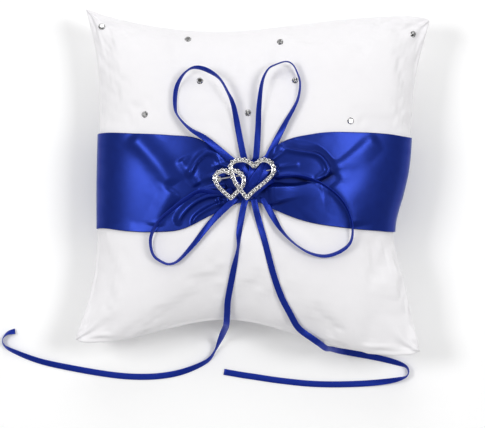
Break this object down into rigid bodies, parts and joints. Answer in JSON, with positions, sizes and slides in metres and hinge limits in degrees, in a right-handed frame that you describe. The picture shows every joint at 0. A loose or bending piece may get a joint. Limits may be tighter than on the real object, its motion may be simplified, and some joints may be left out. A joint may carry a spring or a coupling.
{
  "type": "ring bearer pillow",
  "caption": "Stuffed white ring pillow with a blue satin waist band, a thin ribbon bow with long tails, glued rhinestones and a double heart brooch.",
  "frame": {"origin": "bottom centre of the pillow's box as it lies on its back, ribbon tails left out", "axes": "+X to the pillow's right, +Y to its top edge, +Z out of its decorated face"},
  "size_m": [0.2455, 0.2171, 0.0667],
  "materials": {
    "white_satin": "soft satin",
    "fibre_fill": "loose polyester fibre",
    "blue_satin": "glossy satin",
    "blue_ribbon": "satin ribbon",
    "silver_cast": "polished plated casting",
    "silver_wire": "drawn wire",
    "clear_stone": "foil-backed cut crystal"
  },
  "bodies": {
    "pillow": {"front_panel": "white_satin", "back_panel": "white_satin", "fibre_filling": "fibre_fill", "satin_band": "blue_satin", "ribbon_knot": "blue_ribbon", "ribbon_loop_upper_left": "blue_ribbon", "ribbon_loop_upper_right": "blue_ribbon", "ribbon_loop_lower_left": "blue_ribbon", "ribbon_loop_lower_right": "blue_ribbon", "ribbon_tail_left": "blue_ribbon", "ribbon_tail_right": "blue_ribbon", "rhinestone_1": "clear_stone", "rhinestone_2": "clear_stone", "rhinestone_3": "clear_stone", "rhinestone_4": "clear_stone", "rhinestone_5": "clear_stone", "rhinestone_6": "clear_stone", "rhinestone_7": "clear_stone", "rhinestone_8": "clear_stone", "rhinestone_9": "clear_stone"},
    "brooch": {"heart_frame": "silver_cast", "hinge_base": "silver_cast", "hinge_rivet": "silver_wire", "catch_base": "silver_cast"},
    "pin": {"pin_stem": "silver_wire"},
    "catch": {"catch_sleeve": "silver_cast"}
  },
  "joints": [
    {"name": "brooch_lift", "type": "slide", "parent": "pillow", "child": "brooch", "axis": [0, 0, 1], "range_m": [0, 0.06]},
    {"name": "pin_swing", "type": "hinge", "parent": "brooch", "child": "pin", "pos_m": [0.0116, 0.0059, 0.0621], "axis": [0.2071, -0.9783, 0], "range_deg": [0, 60]},
    {"name": "catch_turn", "type": "hinge", "parent": "brooch", "child": "catch", "pos_m": [-0.0193, -0.00064, 0.0621], "axis": [-0.9783, -0.2071, 0], "range_deg": [0, 120]}
  ],
  "couplings": [
    {"joint": "pin_swing", "follows": "brooch_lift", "rad_per_m": 17.45}
  ]
}
